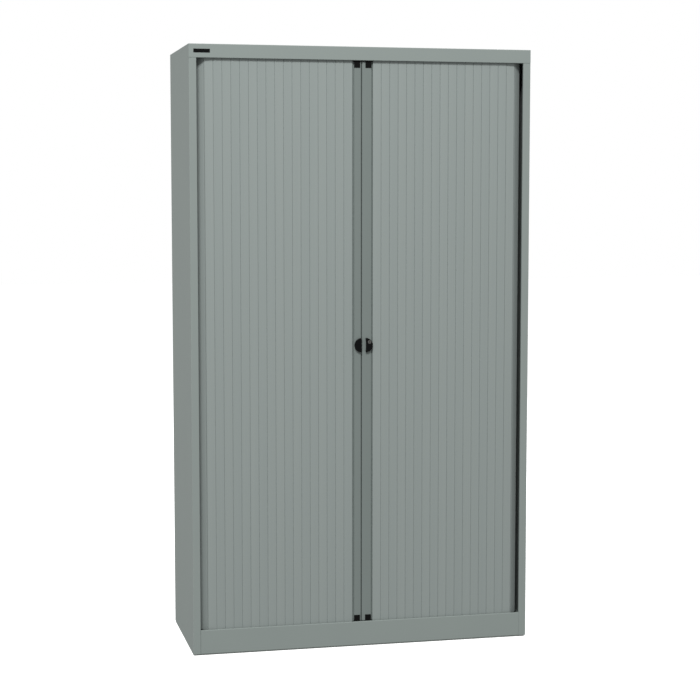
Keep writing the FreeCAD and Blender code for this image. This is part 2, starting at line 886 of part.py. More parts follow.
shoes = [shoe(side, end) for side in ("left", "right") for end in ("top", "bottom")]
meeting_strip = box(
    "meeting_strip",
    ("-left_near", "strip_thickness - left_near"),
    ("-(stile_face + stile_rear + strip_depth) / 2", "-(stile_face + stile_rear - strip_depth) / 2"),
    ("stile_bottom", "stile_top"),
)

# Finger pulls: half discs, flat side to the middle, hollowed behind the flat side for the fingers


def pull_body(side):
    """One pull, standing on the face of its stile."""
    name = f"pull_{side}_body"
    body = doc.addObject("PartDesign::Body", name)
    face = new_sketch(body, name + "_face", "XZ_Plane")
    radius = number("pull_radius")
    middle = FreeCAD.Vector(0, 0, 0)
    circle = Part.Circle(middle, FreeCAD.Vector(0, 0, 1), radius)
    face.addGeometry(Part.ArcOfCircle(circle, math.pi / 2, 3 * math.pi / 2), False)
    face.addGeometry(Part.LineSegment(FreeCAD.Vector(0, -radius, 0), FreeCAD.Vector(0, radius, 0)), False)
    face.addConstraint(Sketcher.Constraint("Coincident", 0, 3, -1, 1))
    face.addConstraint(Sketcher.Constraint("Coincident", 0, 2, 1, 1))
    face.addConstraint(Sketcher.Constraint("Coincident", 0, 1, 1, 2))
    face.addConstraint(Sketcher.Constraint("Vertical", 1))
    index = face.addConstraint(Sketcher.Constraint("Radius", 0, radius))
    face.setExpression(f"Constraints[{index}]", bound("pull_radius"))
    block = raised(body, face, name + "_pad", "half_depth - stile_face")
    doc.recompute()
    front = block.Shape.BoundBox.YMin
    rim = [
        f"Edge{place}"
        for place, edge in enumerate(block.Shape.Edges, start=1)
        if edge.BoundBox.YMax < front / 2
    ]
    rounded = body.newObject("PartDesign::Fillet", name + "_rim")
    rounded.Base = (block, rim)
    rounded.setExpression("Radius", bound("pull_fillet"))
    doc.recompute()
    grip = new_sketch(body, name + "_grip", "YZ_Plane")
    before = "stile_face - half_depth + grip_lip"
    outline(
        grip,
        [
            (before, "-grip_height / 2"),
            ("0", "-grip_height / 2"),
            ("0", "grip_height / 2"),
            (before, "grip_height / 2"),
        ],
    )
    hollow = body.newObject("PartDesign::Pocket", name + "_hollow")
    hollow.Profile = grip
    hollow.setExpression("Length", bound("grip_depth"))
    body.setExpression("Placement.Base.y", bound("-stile_face"))
    body.setExpression("Placement.Base.z", bound("pull_height"))
    body.setExpression("Placement.Base.x", bound("-left_near" if side == "left" else "pull_face"))
    if side == "right":
        body.Placement.Rotation = FreeCAD.Rotation(FreeCAD.Vector(0, 1, 0), 180)
    return body


LEFT_SCREWS = [
    ("-left_near - pull_screw_inset", "pull_height + pull_screw_rise"),
    ("-left_near - pull_screw_inset", "pull_height - pull_screw_rise"),
]
RIGHT_SCREWS = [("pull_face + pull_screw_inset", "pull_height - pull_screw_rise")]


def pull_screw(name, at):
    """A screw from behind the stile into the pull."""
    return pan_screw(name, at, "-stile_rear", "stile_thickness + pull_screw_bite")


def pull_screw_holes(name, spots):
    """Room for the screws of one pull, through the stile and into the pull."""
    span = ("-stile_face - pull_screw_bite - fit_gap", "overrun - stile_rear")
    return [
        cylinder(f"{name}_{step}", "y", at, span, "screw_radius + hole_gap")
        for step, at in enumerate(spots)
    ]


left_holes = group("pull_holes_left", *pull_screw_holes("pull_hole_left", LEFT_SCREWS))
lock_hole = cylinder(
    "lock_hole", "y", ("lock_side", "lock_level"), ("-half_depth - overrun", "overrun - stile_rear"),
    "case_radius + hole_gap"
)
right_holes = group("pull_holes_right", *pull_screw_holes("pull_hole_right", RIGHT_SCREWS), lock_hole)
stile_left = cut("stile_left", stile_tube("left"), left_holes)
stile_right = cut("stile_right", stile_tube("right"), right_holes)
pull_left = cut("pull_left", pull_body("left"), left_holes)
pull_right = cut("pull_right", pull_body("right"), right_holes)
pull_screws_left = group(
    "pull_screws_left",
    *[pull_screw(f"pull_screw_left_{step}", at) for step, at in enumerate(LEFT_SCREWS)],
)
pull_screws_right = group(
    "pull_screws_right",
    *[pull_screw(f"pull_screw_right_{step}", at) for step, at in enumerate(RIGHT_SCREWS)],
)

# Lock: case through the right pull and stile, barrel with the keyway, and a hook behind the stile
# that swings up across the seam and over a pin on the left stile

LOCK_AT = ("lock_side", "lock_level")
HOOK_SPAN = ("-hook_front", "-hook_rear")
CASE_SPAN = ("-half_depth", "-case_end")
BORE_SPAN = ("-half_depth - overrun", "overrun - case_end")
lock_case = cut(
    "lock_case",
    cylinder("case_tube", "y", LOCK_AT, CASE_SPAN, "case_radius"),
    cylinder("case_bore", "y", LOCK_AT, BORE_SPAN, "barrel_radius + barrel_gap"),
)
RING_NUT_SPAN = ("-stile_rear", "ring_nut_thickness - stile_rear")
RING_HOLE_SPAN = ("-stile_rear - overrun", "ring_nut_thickness + overrun - stile_rear")
lock_ring_nut = cut(
    "lock_ring_nut",
    hexagon("ring_nut_bar", "y", LOCK_AT, RING_NUT_SPAN, "ring_nut_radius"),
    cylinder("ring_nut_hole", "y", LOCK_AT, RING_HOLE_SPAN, "case_radius + hole_gap"),
)
SPIGOT_SPAN = ("-half_depth", "hook_nut_thickness - hook_rear")
lock_barrel = cut(
    "lock_barrel",
    joined(
        "barrel_turning",
        cylinder("barrel_body", "y", LOCK_AT, CASE_SPAN, "barrel_radius"),
        cylinder("barrel_spigot", "y", LOCK_AT, SPIGOT_SPAN, "spigot_radius"),
    ),
    box(
        "keyway",
        ("lock_side - keyway_width / 2", "lock_side + keyway_width / 2"),
        ("-half_depth - overrun", "keyway_depth - half_depth"),
        ("lock_level - keyway_height / 2", "lock_level + keyway_height / 2"),
    ),
)
spigot_hole = cylinder(
    "spigot_hole", "y", LOCK_AT, ("-hook_front - overrun", "hook_nut_thickness + overrun - hook_rear"),
    "spigot_radius + hole_gap"
)
lock_hook = cut(
    "lock_hook",
    joined(
        "hook_plate",
        cylinder("hook_hub", "y", LOCK_AT, HOOK_SPAN, "case_radius"),
        box("hook_arm", ("lock_side - hook_width / 2", "lock_side + hook_width / 2"), HOOK_SPAN,
            ("lock_level - hook_reach", "lock_level")),
        box("hook_point", ("lock_side - hook_width / 2 - hook_barb", "lock_side - hook_width / 2"),
            HOOK_SPAN, ("lock_level - hook_reach", "lock_level - hook_reach + hook_barb_width")),
    ),
    spigot_hole,
)
HOOK_NUT_SPAN = ("-hook_rear", "hook_nut_thickness - hook_rear")
lock_hook_nut = cut(
    "lock_hook_nut",
    hexagon("hook_nut_bar", "y", LOCK_AT, HOOK_NUT_SPAN, "hook_nut_radius"),
    spigot_hole,
)
keeper = joined(
    "keeper",
    box("keeper_plate", ("-pin_side - keeper_width / 2", "keeper_width / 2 - pin_side"),
        ("-stile_rear", "keeper_thickness - stile_rear"),
        ("pin_level - keeper_height / 2", "pin_level + keeper_height / 2")),
    cylinder("keeper_pin", "y", ("-pin_side", "pin_level"), ("-stile_rear", "keeper_pin_reach - stile_rear"),
             "keeper_pin_radius"),
)

# Plain dark plate at the left end of the top rail

rail_plate = box(
    "rail_plate",
    ("plate_inset - half_width", "plate_inset + plate_width - half_width"),
    ("-half_depth - plate_thickness", "-half_depth"),
    ("height - plate_drop - plate_height", "height - plate_drop"),
)

# Shutters: rigid slats in a row along the running path, each turning on the rounded edge of the
# one before. The path is a front straight, a corner arc and the start of a side straight.


def path_point(run):
    """The place in plan on the left running path, a distance along it from the middle."""
    straight = number("bend_side")
    radius = number("corner_radius")
    quarter_turn = radius * math.pi / 2
    if run < straight:
        return FreeCAD.Vector(-run, -number("track_front"), 0)
    if run < straight + quarter_turn:
        angle = (run - straight) / radius
        centre = FreeCAD.Vector(-straight, -number("bend_front"), 0)
        return centre + FreeCAD.Vector(-math.sin(angle), -math.cos(angle), 0) * radius
    return FreeCAD.Vector(-number("track_side"), run - straight - quarter_turn - number("bend_front"), 0)


# share of a pitch to which the places of the joints are worked out
JOINT_ACCURACY_SHARE = 1e-9


def next_joint(run, pitch):
    """How far along the path the next joint lies, one pitch away in a straight line."""
    near, far = run + pitch, run + pitch * math.pi / 2
    while far - near > pitch * JOINT_ACCURACY_SHARE:
        middle = (near + far) / 2
        if (path_point(middle) - path_point(run)).Length < pitch:
            near = middle
        else:
            far = middle
    return (near + far) / 2


def slat_outline():
    """A slat's section: X from its own joint to the next one, Y to the front of the shutter."""
    pitch, half = number("slat_pitch"), number("slat_half")
    angle = math.radians(number("joint_angle"))
    hollow = half + number("joint_gap")
    tip_x, tip_y = hollow * math.cos(angle), hollow * math.sin(angle)
    shoulder = tip_x + number("slat_bevel")

    def spot(x, y):
        return FreeCAD.Vector(x, y, 0)

    edges = [
        Part.LineSegment(spot(tip_x, tip_y), spot(shoulder, half)),
        Part.LineSegment(spot(shoulder, half), spot(pitch, half)),
        Part.Arc(spot(pitch, half), spot(pitch + half, 0), spot(pitch, -half)),
        Part.LineSegment(spot(pitch, -half), spot(shoulder, -half)),
        Part.LineSegment(spot(shoulder, -half), spot(tip_x, -tip_y)),
        Part.Arc(spot(tip_x, -tip_y), spot(hollow, 0), spot(tip_x, tip_y)),
    ]
    return Part.Face(Part.Wire([edge.toShape() for edge in edges]))


def curtain(name, far):
    """All slats of a shutter whose stile ends a given distance from the middle."""
    pitch = number("slat_pitch")
    slat = slat_outline().extrude(FreeCAD.Vector(0, 0, number("slat_top - slat_bottom")))
    run = number(f"{far} - stile_edge")
    slats = []
    for _ in range(int(number("slats_per_shutter"))):
        following = next_joint(run, pitch)
        start, end = path_point(run), path_point(following)
        heading = math.degrees(math.atan2(end.y - start.y, end.x - start.x))
        placed = slat.copy()
        placed.Placement = FreeCAD.Placement(start, FreeCAD.Rotation(FreeCAD.Vector(0, 0, 1), heading))
        slats.append(placed)
        run = following
    feature = doc.addObject("Part::Feature", name)
    feature.Shape = Part.makeCompound(slats)
    feature.setExpression("Placement.Base.z", bound("slat_bottom"))
    return feature


shutter_left = curtain("shutter_left", "left_far")
shutter_right = mirrored("shutter_right", curtain("shutter_right_turned", "right_far"))

PIECES = [
    side_panel_left, side_panel_right, top_panel, head_panel, back_panel, back_screws,
    base_panel, base_rail_left, base_rail_right, centre_brace, plinth,
    *feet, foot_nuts,
    liner_left, liner_right, liner_back, floor_tray, *shelves, shelf_clips,
    *tracks, track_stops, rail_plate,
    stile_left, stile_right, *shoes, meeting_strip,
    pull_left, pull_right, pull_screws_left, pull_screws_right,
    lock_case, lock_ring_nut, lock_barrel, lock_hook, lock_hook_nut, keeper,
    shutter_left, shutter_right,
]

doc.recompute()
for item in doc.Objects:
    if "Invalid" in item.State or "Error" in item.State:
        raise RuntimeError(f"{item.Name} could not be built: {item.State}")
for piece in PIECES:
    piece.Label = piece.Name
    if piece.Shape.isNull() or not piece.Shape.isValid() or not piece.Shape.Solids:
        raise RuntimeError(f"{piece.Name} has no sound solid")

os.makedirs("parts", exist_ok=True)
for piece in PIECES:
    piece.Shape.exportStep(f"parts/{piece.Label}.step")
print(len(PIECES), "pieces")
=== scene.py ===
import json
import math

import bmesh
import bpy
from mathutils import Matrix, Vector

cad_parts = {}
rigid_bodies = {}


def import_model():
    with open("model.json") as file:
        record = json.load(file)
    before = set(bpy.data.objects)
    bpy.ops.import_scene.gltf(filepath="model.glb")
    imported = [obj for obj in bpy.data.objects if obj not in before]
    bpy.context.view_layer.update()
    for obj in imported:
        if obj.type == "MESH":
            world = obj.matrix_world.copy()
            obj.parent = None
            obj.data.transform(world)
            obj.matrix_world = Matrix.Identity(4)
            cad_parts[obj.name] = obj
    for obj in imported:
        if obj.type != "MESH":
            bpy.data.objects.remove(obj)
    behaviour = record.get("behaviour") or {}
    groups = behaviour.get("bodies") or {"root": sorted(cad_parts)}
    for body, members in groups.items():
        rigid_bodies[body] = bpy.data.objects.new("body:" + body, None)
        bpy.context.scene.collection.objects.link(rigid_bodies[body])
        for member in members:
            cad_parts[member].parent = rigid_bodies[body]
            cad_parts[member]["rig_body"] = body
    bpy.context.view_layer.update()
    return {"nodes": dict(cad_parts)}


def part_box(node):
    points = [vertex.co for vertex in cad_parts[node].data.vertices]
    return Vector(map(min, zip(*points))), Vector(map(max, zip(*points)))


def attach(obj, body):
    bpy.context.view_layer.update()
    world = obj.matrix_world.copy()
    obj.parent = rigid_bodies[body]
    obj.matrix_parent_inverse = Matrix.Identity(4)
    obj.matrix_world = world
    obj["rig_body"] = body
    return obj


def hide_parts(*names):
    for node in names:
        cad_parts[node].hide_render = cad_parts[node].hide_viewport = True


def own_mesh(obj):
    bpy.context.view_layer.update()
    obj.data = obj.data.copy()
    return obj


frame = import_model()


# Carcass: side panels, top with its rail, head, back, base, plinth, inner walls, floor and shelves.
# Each is one mild steel sheet, sheared, punched and folded on a press brake, then powder coated and
# baked. The folds come out round, and the cut edges are only eased by the coat.

MM = 0.001
WELD_REACH = 0.001 * MM
SMALLEST_STEP = 0.01 * MM
FLAT_ANGLE = math.radians(0.5)
SHEET_FOLD = 1.8 * MM
SHEET_INNER_FOLD = 0.7 * MM
SHEET_RIM = 0.35 * MM
SHEET_RIM_WIDTH = 2.5 * MM
COAT_GLOSS = 0.3
COAT_ROUGHNESS = 0.55
SOFT_EDGE_ANGLE = math.radians(35)
# in radii of the rounding
SHORTEST_ROUNDED = 1.6
ROUNDING_SEGMENTS = 3
COAT_LIGHT = "#8e9793"
COAT_DARK = "#8a9390"
CARCASS_SHEETS = (
    "side_panel_left", "side_panel_right", "top_panel", "head_panel", "back_panel", "base_panel",
    "plinth", "liner_left", "liner_right", "liner_back", "floor_tray",
    "shelf_1", "shelf_2", "shelf_3", "shelf_4",
)


def linear(text):
    """The linear colour of an sRGB hex value."""
    levels = [int(text[place:place + 2], 16) / 255 for place in (1, 3, 5)]
    return [v / 12.92 if v <= 0.04045 else ((v + 0.055) / 1.055) ** 2.4 for v in levels] + [1.0]


def add_node(tree, kind, inputs=None, **settings):
    """A node with its settings, and its inputs linked or set."""
    node = tree.nodes.new(kind)
    for name, value in settings.items():
        setattr(node, name, value)
    for socket, value in (inputs or {}).items():
        if isinstance(value, bpy.types.NodeSocket):
            tree.links.new(value, node.inputs[socket])
        else:
            node.inputs[socket].default_value = value
    return node


def new_material(name):
    """An empty material, its node tree and its shader."""
    material = bpy.data.materials.new(name)
    material.use_nodes = True
    tree = material.node_tree
    tree.nodes.clear()
    shader = add_node(tree, "ShaderNodeBsdfPrincipled")
    add_node(tree, "ShaderNodeOutputMaterial", {"Surface": shader.outputs["BSDF"]})
    return material, tree, shader


def powder_coat(name, light, dark, roughness):
    """Epoxy polyester powder coat, fine texture: an even colour that clouds slightly over a hand's
    breadth, little gloss, and the ripple called orange peel. The ripple is 2 mm across on the real
    coat and is drawn at 5 mm, so that it shows from where the object is seen."""
    cloud, ripple, ripple_height = 220 * MM, 5 * MM, 0.02 * MM
    material, tree, shader = new_material(name)
    place = add_node(tree, "ShaderNodeTexCoord").outputs["Object"]
    clouds = add_node(
        tree, "ShaderNodeTexNoise", {"Vector": place, "Scale": 1 / cloud, "Detail": 3.0}
    )
    tone = add_node(
        tree, "ShaderNodeMix",
        {"Factor": clouds.outputs["Fac"], "A": linear(dark), "B": linear(light)}, data_type="RGBA",
    )
    tree.links.new(tone.outputs["Result"], shader.inputs["Base Color"])
    peel = add_node(tree, "ShaderNodeTexNoise", {"Vector": place, "Scale": 1 / ripple, "Detail": 1.0})
    bump = add_node(
        tree, "ShaderNodeBump",
        {"Height": peel.outputs["Fac"], "Strength": 0.6, "Distance": ripple_height},
    )
    tree.links.new(bump.outputs["Normal"], shader.inputs["Normal"])
    gloss = add_node(
        tree, "ShaderNodeMapRange",
        {"Value": clouds.outputs["Fac"], "To Min": roughness - 0.04, "To Max": roughness + 0.04},
    )
    tree.links.new(gloss.outputs["Result"], shader.inputs["Roughness"])
    shader.inputs["IOR"].default_value = 1.5
    shader.inputs["Specular IOR Level"].default_value = COAT_GLOSS
    return material


def merged_copy(node):
    """The solid of a node as one welded mesh with whole flat faces."""
    work = bmesh.new()
    work.from_mesh(frame["nodes"][node].data)
    bmesh.ops.remove_doubles(work, verts=work.verts, dist=WELD_REACH)
    bmesh.ops.dissolve_limit(
        work, angle_limit=FLAT_ANGLE, verts=work.verts, edges=work.edges, use_dissolve_boundaries=False
    )
    work.normal_update()
    return work


def face_width(face):
    """About how wide a face is across its longest edge."""
    return face.calc_area() / max(edge.calc_length() for edge in face.edges)


def weigh_edges(work, fold, inner_fold, rim, rim_width):
    """Marks each sharp edge for rounding: outer folds, inner folds, and the rims of a cut sheet. The
    short sides of a small hole stay sharp."""
    weight = work.edges.layers.float.new("bevel_weight_edge")
    for edge in work.edges:
        if not edge.is_manifold or edge.calc_face_angle() < SOFT_EDGE_ANGLE:
            continue
        if min(face_width(face) for face in edge.link_faces) < rim_width:
            radius = rim
        else:
            radius = fold if edge.is_convex else inner_fold
        if edge.calc_length() > SHORTEST_ROUNDED * radius:
            edge[weight] = radius / fold
        else:
            edge.smooth = False


def finished(work, name, body, materials, slot, replaced, radius):
    """The mesh as a piece on its body, with its marked edges rounded, in place of some CAD nodes."""
    many_sided = [face for face in work.faces if len(face.verts) > 4]
    bmesh.ops.triangulate(work, faces=many_sided, quad_method="BEAUTY", ngon_method="BEAUTY")
    mesh = bpy.data.meshes.new(name)
    work.to_mesh(mesh)
    work.free()
    for polygon in mesh.polygons:
        polygon.use_smooth = True
    for material in materials:
        mesh.materials.append(material)
    piece = bpy.data.objects.new(name, mesh)
    bpy.context.scene.collection.objects.link(piece)
    rounding = piece.modifiers.new("rounded_edges", "BEVEL")
    rounding.width = radius
    rounding.segments = ROUNDING_SEGMENTS
    rounding.limit_method = "WEIGHT"
    rounding.use_clamp_overlap = False
    rounding.loop_slide = False
    shading = piece.modifiers.new("flat_faces_shade_flat", "WEIGHTED_NORMAL")
    shading.mode = "FACE_AREA"
    shading.weight = 100
    shading.keep_sharp = True
    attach(piece, body)
    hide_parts(*replaced)
    return piece


def eased(node, material, slot, fold, inner_fold, rim, rim_width):
    """A node's solid with rounded edges and its real finish."""
    work = merged_copy(node)
    weigh_edges(work, fold, inner_fold, rim, rim_width)
    body = frame["nodes"][node]["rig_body"]
    return finished(work, node + "_finished", body, [material], slot, [node], fold)


grey_coat = powder_coat("powder_coat_grey", COAT_LIGHT, COAT_DARK, COAT_ROUGHNESS)
for sheet in CARCASS_SHEETS:
    eased(sheet, grey_coat, "grey_paint", SHEET_FOLD, SHEET_INNER_FOLD, SHEET_RIM, SHEET_RIM_WIDTH)


# Screws: zinc-plated pan heads with a cross recess, cold headed and driven by hand, so no two stand
# at the same angle. Ten hold the back, three come through the stiles into the pulls.

HEAD_RADIUS = 4 * MM
HEAD_HEIGHT = 1.8 * MM
HEAD_CROWN = 0.7 * MM
SHANK_RADIUS = 2 * MM
RECESS_REACH = 2.2 * MM
RECESS_WIDTH = 0.9 * MM
RECESS_DEPTH = 1.1 * MM
RECESS_TAPER = 0.55
HEAD_SIDES = 32
SHANK_SIDES = 20
CROWN_STEPS = 3
ZINC_BLOTCH = 6 * MM
ZINC_ROUGHNESS = 0.34
TURN_STEP = math.radians(37)


def plated_steel(name, light, dark, roughness, cloud):
    """Zinc electroplate over steel: bright grey metal with faint blotches from the bath."""
    material, tree, shader = new_material(name)
    place = add_node(tree, "ShaderNodeTexCoord").outputs["Object"]
    blotches = add_node(
        tree, "ShaderNodeTexNoise", {"Vector": place, "Scale": 1 / cloud, "Detail": 4.0}
    )
    tone = add_node(
        tree, "ShaderNodeMix",
        {"Factor": blotches.outputs["Fac"], "A": linear(dark), "B": linear(light)}, data_type="RGBA",
    )
    tree.links.new(tone.outputs["Result"], shader.inputs["Base Color"])
    gloss = add_node(
        tree, "ShaderNodeMapRange",
        {"Value": blotches.outputs["Fac"], "To Min": roughness - 0.08, "To Max": roughness + 0.08},
    )
    tree.links.new(gloss.outputs["Result"], shader.inputs["Roughness"])
    shader.inputs["Metallic"].default_value = 1.0
    return material


def screw(work, seat, reach, turn):
    """One screw with its head on a seat, facing +Y, and its shank going reach deep."""
    part = bmesh.new()
    rim = bmesh.ops.create_circle(part, segments=HEAD_SIDES, radius=HEAD_RADIUS)["verts"]
    rim_edges = [edge for edge in part.edges]
    side = bmesh.ops.extrude_edge_only(part, edges=rim_edges)["geom"]
    top = [vert for vert in side if isinstance(vert, bmesh.types.BMVert)]
    bmesh.ops.translate(part, verts=top, vec=(0, 0, HEAD_HEIGHT - HEAD_CROWN))
    edges = [edge for edge in side if isinstance(edge, bmesh.types.BMEdge)]
    for step in range(1, CROWN_STEPS + 1):
        angle = step * math.pi / 2 / (CROWN_STEPS + 1)
        ring = bmesh.ops.extrude_edge_only(part, edges=edges)["geom"]
        verts = [vert for vert in ring if isinstance(vert, bmesh.types.BMVert)]
        wanted = HEAD_RADIUS - HEAD_CROWN * (1 - math.cos(angle))
        level = HEAD_HEIGHT - HEAD_CROWN + HEAD_CROWN * math.sin(angle)
        present = math.hypot(verts[0].co.x, verts[0].co.y)
        bmesh.ops.scale(part, verts=verts, vec=(wanted / present, wanted / present, 1))
        bmesh.ops.translate(part, verts=verts, vec=(0, 0, level - verts[0].co.z))
        edges = [edge for edge in ring if isinstance(edge, bmesh.types.BMEdge)]
    crown = edges[0].verts[0].co.z
    half = RECESS_WIDTH / 2
    arm = [(half, half), (half, RECESS_REACH), (-half, RECESS_REACH)]
    cross = []
    for quarter in range(4):
        spin = Matrix.Rotation(quarter * math.pi / 2, 3, "Z")
        cross += [part.verts.new(spin @ Vector((x, y, crown))) for x, y in arm]
    cross_edges = [part.edges.new(pair) for pair in zip(cross, cross[1:] + cross[:1])]
    bmesh.ops.triangle_fill(part, edges=edges + cross_edges, use_beauty=True)
    inside = []
    for face in part.faces:
        middle = face.calc_center_median()
        if all(vert in cross for vert in face.verts) and min(abs(middle.x), abs(middle.y)) < half:
            inside.append(face)
    bmesh.ops.delete(part, geom=inside, context="FACES_ONLY")
    wall = bmesh.ops.extrude_edge_only(part, edges=cross_edges)["geom"]
    deep = [vert for vert in wall if isinstance(vert, bmesh.types.BMVert)]
    bmesh.ops.scale(part, verts=deep, vec=(RECESS_TAPER, RECESS_TAPER, 1))
    bmesh.ops.translate(part, verts=deep, vec=(0, 0, -RECESS_DEPTH))
    floor_edges = [edge for edge in part.edges if all(vert in deep for vert in edge.verts)]
    bmesh.ops.contextual_create(part, geom=floor_edges)
    bmesh.ops.contextual_create(part, geom=rim_edges)
    shank = Matrix.Translation((0, 0, -reach / 2))
    bmesh.ops.create_cone(
        part, segments=SHANK_SIDES, radius1=SHANK_RADIUS, radius2=SHANK_RADIUS, depth=reach,
        cap_ends=True, matrix=shank,
    )
    bmesh.ops.recalc_face_normals(part, faces=part.faces)
    facing_back = Matrix.Rotation(-math.pi / 2, 4, "X") @ Matrix.Rotation(turn, 4, "Z")
    bmesh.ops.transform(part, matrix=Matrix.Translation(seat) @ facing_back, verts=part.verts)
    spare = bpy.data.meshes.new("screw")
    part.to_mesh(spare)
    part.free()
    work.from_mesh(spare)
    bpy.data.meshes.remove(spare)


def islands(work):
    """The separate solids of a mesh, each as a list of its faces, in the mesh's own order."""
    seen = set()
    for start in work.faces:
        if start in seen:
            continue
        seen.add(start)
        found, front = [], [start]
        while front:
            face = front.pop()
            found.append(face)
            for edge in face.edges:
                for other in edge.link_faces:
                    if other not in seen:
                        seen.add(other)
                        front.append(other)
        yield found


def screws(node, name):
    """Every screw of a node, each at the place of its solid."""
    solids = merged_copy(node)
    work = bmesh.new()
    for count, faces in enumerate(islands(solids)):
        points = [vert.co for face in faces for vert in face.verts]
        low = Vector([min(point[axis] for point in points) for axis in range(3)])
        high = Vector([max(point[axis] for point in points) for axis in range(3)])
        seat = high.y - HEAD_HEIGHT
        middle = (low + high) / 2
        screw(work, Vector((middle.x, seat, middle.z)), seat - low.y, count * TURN_STEP)
    solids.free()
    work.edges.layers.float.new("bevel_weight_edge")
    body = frame["nodes"][node]["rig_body"]
    return finished(work, name, body, [zinc], "zinc_plated_steel", [node], 0.1 * MM)


zinc = plated_steel("zinc_plated_steel", "#c6cacb", "#a9aeb1", ZINC_ROUGHNESS, ZINC_BLOTCH)
screws("back_screws", "back_screws_finished")
screws("pull_screws_left", "pull_screws_left_finished")
screws("pull_screws_right", "pull_screws_right_finished")


# Base rails and the brace between them: hot-dip galvanised strip, rolled to channels and spot welded
# under the base. Zinc left to cool shows its spangle, flakes about 10 mm across.

STRIP_FOLD = 1.5 * MM
SPANGLE = 10 * MM


def galvanised(name):
    """Hot-dip zinc: dull grey metal in flat crystals that each catch the light a little differently."""
    material, tree, shader = new_material(name)
    place = add_node(tree, "ShaderNodeTexCoord").outputs["Object"]
    spangle = add_node(tree, "ShaderNodeTexVoronoi", {"Vector": place, "Scale": 1 / SPANGLE})
    tint = add_node(tree, "ShaderNodeSeparateColor", {"Color": spangle.outputs["Color"]})
    tone = add_node(
        tree, "ShaderNodeMix",
        {"Factor": tint.outputs["Red"], "A": linear("#9aa0a3"), "B": linear("#b9bec0")},
        data_type="RGBA",
    )
    tree.links.new(tone.outputs["Result"], shader.inputs["Base Color"])
    gloss = add_node(
        tree, "ShaderNodeMapRange", {"Value": tint.outputs["Green"], "To Min": 0.38, "To Max": 0.6}
    )
    tree.links.new(gloss.outputs["Result"], shader.inputs["Roughness"])
    shader.inputs["Metallic"].default_value = 1.0
    return material


zinc_strip = galvanised("galvanised_strip")
for strip in ("base_rail_left", "base_rail_right", "centre_brace"):
    eased(
        strip, zinc_strip, "galvanised_steel",
        STRIP_FOLD, SHEET_INNER_FOLD, SHEET_RIM, SHEET_RIM_WIDTH,
    )


# Levelling feet: a ribbed nylon disc moulded round the head of an M10 stud, with a weld nut above the
# rail's foot and a lock nut below it. Only their undersides show, and the studs from below.

FOOT_EDGE = 1.2 * MM
STUD_START = 14 * MM
NUT_EDGE = 0.6 * MM
NUT_RIM = 0.3 * MM
GRAINED_GLOSS = 0.1


def moulded(name, light, dark, roughness, grain, grain_height):
    """Injection-moulded plastic: through-coloured, satin, with the fine pitted grain of an eroded
    mould, whose pits swallow most of the gloss. The real grain is about 0.1 mm, and is drawn coarser
    so that it shows."""
    material, tree, shader = new_material(name)
    place = add_node(tree, "ShaderNodeTexCoord").outputs["Object"]
    pits = add_node(
        tree, "ShaderNodeTexNoise",
        {"Vector": place, "Scale": 1 / grain, "Detail": 2.0, "Roughness": 0.6},
    )
    tone = add_node(
        tree, "ShaderNodeMix",
        {"Factor": pits.outputs["Fac"], "A": linear(dark), "B": linear(light)}, data_type="RGBA",
    )
    tree.links.new(tone.outputs["Result"], shader.inputs["Base Color"])
    bump = add_node(
        tree, "ShaderNodeBump",
        {"Height": pits.outputs["Fac"], "Strength": 0.5, "Distance": grain_height},
    )
    tree.links.new(bump.outputs["Normal"], shader.inputs["Normal"])
    shader.inputs["Roughness"].default_value = roughness
    shader.inputs["IOR"].default_value = 1.53
    shader.inputs["Specular IOR Level"].default_value = GRAINED_GLOSS
    return material


black_nylon = moulded("black_nylon", "#0d0e0e", "#090909", 0.5, 0.8 * MM, 0.03 * MM)
for end in ("front", "rear"):
    for side in ("left", "right"):
        foot = f"levelling_foot_{end}_{side}"
        work = merged_copy(foot)
        weigh_edges(work, FOOT_EDGE, FOOT_EDGE, FOOT_EDGE, 0)
        for face in work.faces:
            face.material_index = 1 if face.calc_center_median().z > STUD_START else 0
        finished(
            work, foot + "_finished", "carcass", [black_nylon, zinc], "foot_plastic_and_steel",
            [foot], FOOT_EDGE,
        )
eased("foot_nuts", zinc, "zinc_plated_steel", NUT_EDGE, NUT_RIM, NUT_RIM, 0)


# Shelf clips: steel ledges, stamped and bent in one stroke and zinc plated. Their tongues are hooked
# by hand into the slots of the inner walls, and the shelves lie on them.

CLIP_EDGE = 0.3 * MM

eased("shelf_clips", zinc, "zinc_plated_steel", CLIP_EDGE, CLIP_EDGE, CLIP_EDGE, 0)


# Running tracks: dark acetal channels, extruded where straight and moulded round the corners, pushed
# into the head and the base. The rubber blocks at their ends stop the shutters.

TRACK_EDGE = 0.4 * MM
STOP_EDGE = 1.0 * MM
STOP_INNER_EDGE = 0.5 * MM
CELL = 0.9 * MM
CELL_DEPTH = 0.1 * MM

dark_acetal = moulded("dark_grey_acetal", "#2c2f2f", "#242727", 0.38, 1.2 * MM, 0.015 * MM)
for end in ("top", "bottom"):
    eased("front_track_" + end, dark_acetal, "track_plastic", TRACK_EDGE, TRACK_EDGE, TRACK_EDGE, 0)
    for side in ("left", "right"):
        for kind, finish, slot in (
            ("side_track", dark_acetal, "track_plastic"),
            ("corner_guide", black_nylon, "black_plastic"),
        ):
            eased(f"{kind}_{end}_{side}", finish, slot, TRACK_EDGE, TRACK_EDGE, TRACK_EDGE, 0)


